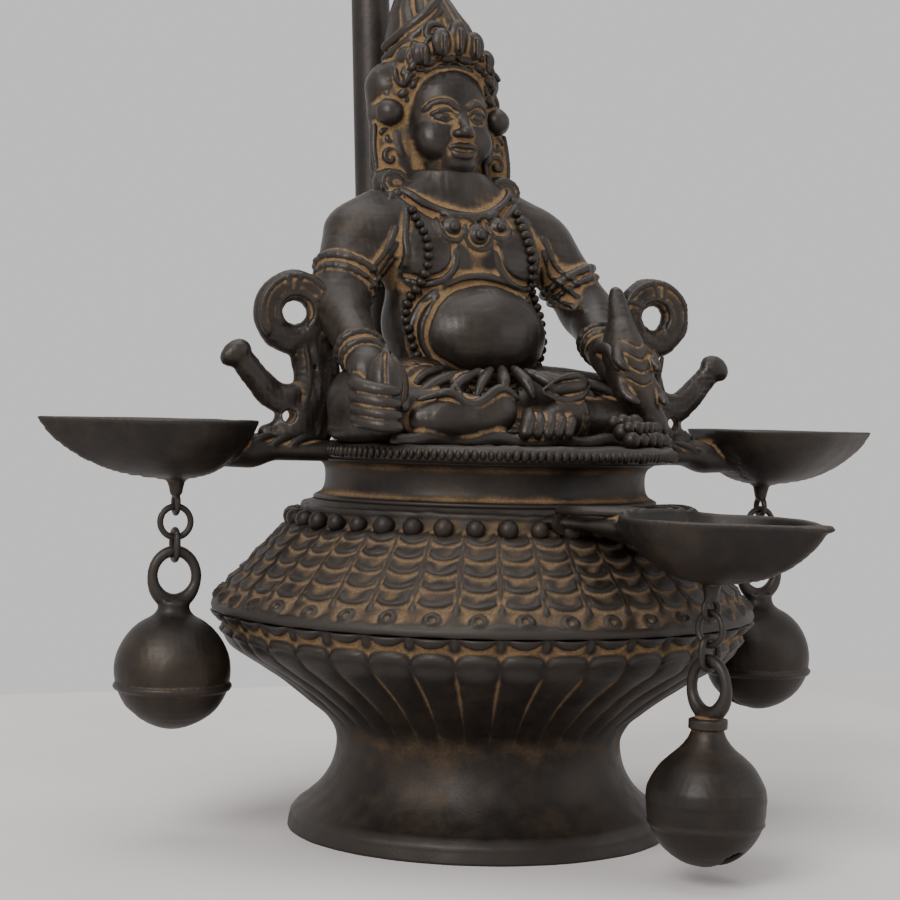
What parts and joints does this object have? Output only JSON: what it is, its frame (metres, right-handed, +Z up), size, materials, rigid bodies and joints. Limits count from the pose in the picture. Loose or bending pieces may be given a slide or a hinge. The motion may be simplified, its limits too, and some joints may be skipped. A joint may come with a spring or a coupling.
{
  "type": "oil lamp",
  "caption": "Cast bronze diya oil lamp: hollow flared pedestal, seated figure, leaf-shaped oil pans on arms, a back rod and crotal bells on ringed chains.",
  "frame": {"origin": "middle of the pedestal's resting ring, on the surface that the lamp stands on", "axes": "+Z up; the side pans lie along X; the front pan points near -Y, turned 18 degrees towards +X, with the rod behind it; the figure faces near -Y, turned 6 degrees towards +X"},
  "size_m": [0.208, 0.1615, 0.2307],
  "materials": {
    "pedestal_bronze": "cast, dark brown patina with ochre dust in the hollows",
    "figure_bronze": "cast, dark brown patina rubbed smooth on the high places",
    "pan_bronze": "cast, almost black, oily",
    "bell_bronze": "turned, dark brown, satin",
    "rod_bronze": "drawn, dark brown",
    "rivet_bronze": "hammered",
    "iron": "dark, plain"
  },
  "bodies": {
    "stand": {"pedestal_bowl": "pedestal_bronze", "pedestal_roof": "pedestal_bronze", "neck_ring": "pedestal_bronze", "seat_plate": "pedestal_bronze", "left_pan": "pan_bronze", "right_pan": "pan_bronze", "front_pan": "pan_bronze", "front_rivets": "rivet_bronze", "tang_rivets": "rivet_bronze", "tie_bolt": "iron", "tie_washer": "iron", "tie_nut": "iron", "back_rod": "rod_bronze", "rod_collar": "rod_bronze", "rod_knop": "rod_bronze", "left_scarf": "figure_bronze", "right_scarf": "figure_bronze", "figure": "figure_bronze", "citron": "figure_bronze", "mongoose": "figure_bronze"},
    "left_ring_body": {"left_ring": "bell_bronze"},
    "left_link_body": {"left_link": "bell_bronze"},
    "left_bell": {"left_bell_upper": "bell_bronze", "left_bell_lower": "bell_bronze"},
    "left_pellet_body": {"left_pellet": "iron"},
    "right_ring_body": {"right_ring": "bell_bronze"},
    "right_link_body": {"right_link": "bell_bronze"},
    "right_bell": {"right_bell_upper": "bell_bronze", "right_bell_lower": "bell_bronze"},
    "right_pellet_body": {"right_pellet": "iron"},
    "front_ring_body": {"front_ring": "bell_bronze"},
    "front_link_body": {"front_link": "bell_bronze"},
    "front_bell": {"front_bell_upper": "bell_bronze", "front_bell_lower": "bell_bronze"},
    "front_pellet_body": {"front_pellet": "iron"}
  },
  "joints": [
    {"name": "left_ring_swing", "type": "hinge", "parent": "stand", "child": "left_ring_body", "pos_m": [-0.073, 0, 0.0739], "axis": [-1, 0, 0], "range_deg": [-45, 45]},
    {"name": "left_link_swing", "type": "hinge", "parent": "left_ring_body", "child": "left_link_body", "pos_m": [-0.073, 0, 0.06875], "axis": [0, -1, 0], "range_deg": [-60, 2]},
    {"name": "left_bell_swing", "type": "hinge", "parent": "left_link_body", "child": "left_bell", "pos_m": [-0.073, 0, 0.0641], "axis": [-1, 0, 0], "range_deg": [-40, 40]},
    {"name": "left_pellet_roll", "type": "hinge", "parent": "left_bell", "child": "left_pellet_body", "pos_m": [-0.073, 0, 0.0378], "axis": [0, -1, 0], "range_deg": [-60, 60]},
    {"name": "right_ring_swing", "type": "hinge", "parent": "stand", "child": "right_ring_body", "pos_m": [0.073, 0, 0.0739], "axis": [1, 0, 0], "range_deg": [-45, 45]},
    {"name": "right_link_swing", "type": "hinge", "parent": "right_ring_body", "child": "right_link_body", "pos_m": [0.073, 0, 0.06875], "axis": [0, 1, 0], "range_deg": [-60, 2]},
    {"name": "right_bell_swing", "type": "hinge", "parent": "right_link_body", "child": "right_bell", "pos_m": [0.073, 0, 0.0641], "axis": [1, 0, 0], "range_deg": [-40, 40]},
    {"name": "right_pellet_roll", "type": "hinge", "parent": "right_bell", "child": "right_pellet_body", "pos_m": [0.073, 0, 0.0378], "axis": [0, 1, 0], "range_deg": [-60, 60]},
    {"name": "front_ring_swing", "type": "hinge", "parent": "stand", "child": "front_ring_body", "pos_m": [0.02256, -0.06943, 0.0562], "axis": [0.309, -0.9511, 0], "range_deg": [-45, 45]},
    {"name": "front_link_swing", "type": "hinge", "parent": "front_ring_body", "child": "front_link_body", "pos_m": [0.02256, -0.06943, 0.05105], "axis": [0.9511, 0.309, 0], "range_deg": [-60, 2]},
    {"name": "front_bell_swing", "type": "hinge", "parent": "front_link_body", "child": "front_bell", "pos_m": [0.02256, -0.06943, 0.0464], "axis": [0.309, -0.9511, 0], "range_deg": [-40, 40]},
    {"name": "front_pellet_roll", "type": "hinge", "parent": "front_bell", "child": "front_pellet_body", "pos_m": [0.02256, -0.06943, 0.0164], "axis": [0.9511, 0.309, 0], "range_deg": [-60, 60]}
  ]
}
